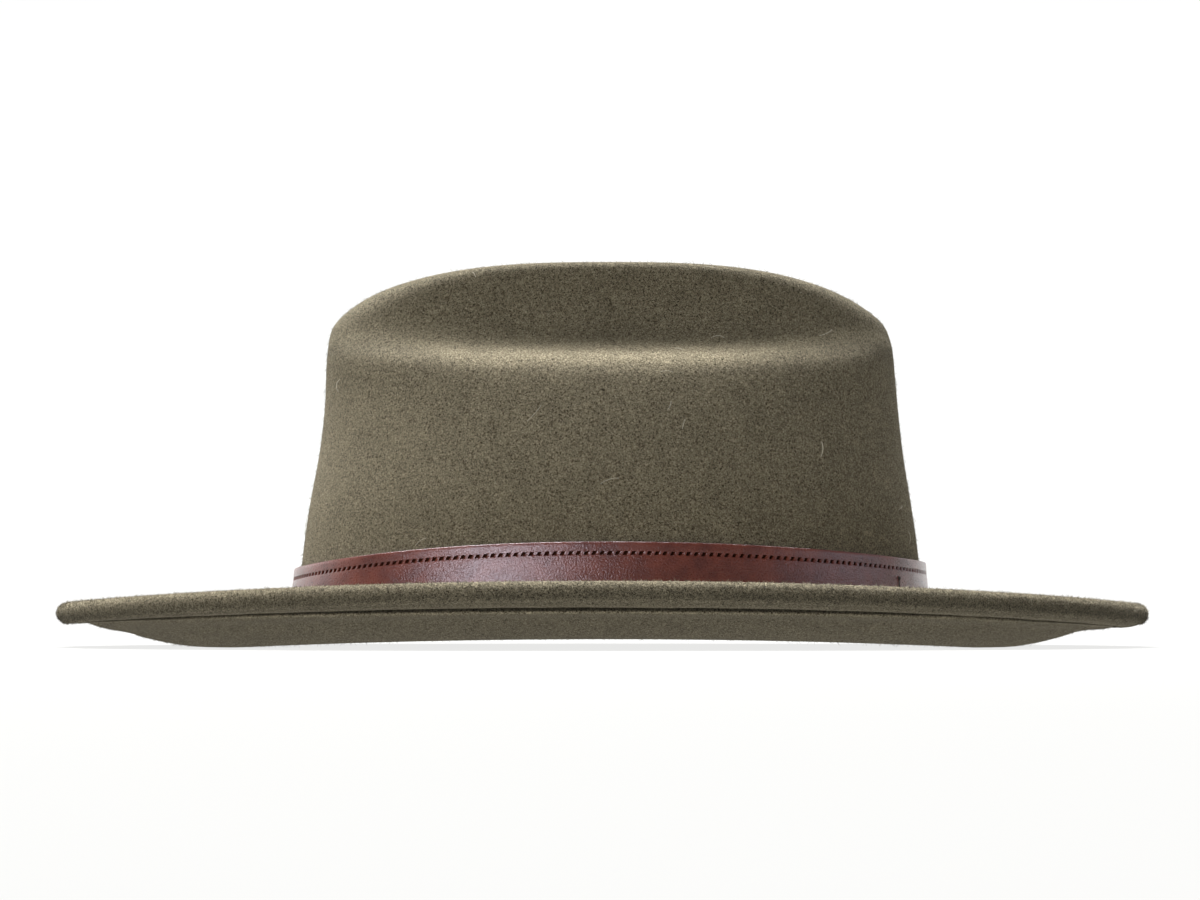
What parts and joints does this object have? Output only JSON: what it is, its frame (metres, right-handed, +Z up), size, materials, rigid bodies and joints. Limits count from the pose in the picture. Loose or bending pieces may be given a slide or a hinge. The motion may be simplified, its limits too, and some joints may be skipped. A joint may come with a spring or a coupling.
{
  "type": "felt hat with a creased crown and a leather band",
  "caption": "Felt hat with a long creased crown, dented sides, an upturned wide brim with a folded edge and a narrow leather band.",
  "frame": {"origin": "on the surface that the hat rests on, under the middle of the brim", "axes": "+X towards the front of the hat, +Y to the wearer's left, +Z up"},
  "size_m": [0.3582, 0.3176, 0.1237],
  "materials": {
    "felt": "dense olive-grey wool felt, matt, with a short nap and a fuzzy edge",
    "band_leather": "burnished red-brown leather, satin, with a creased line of pricked marks along its top edge"
  },
  "bodies": {
    "root": {"felt_body": "felt", "leather_band": "band_leather"}
  },
  "joints": []
}
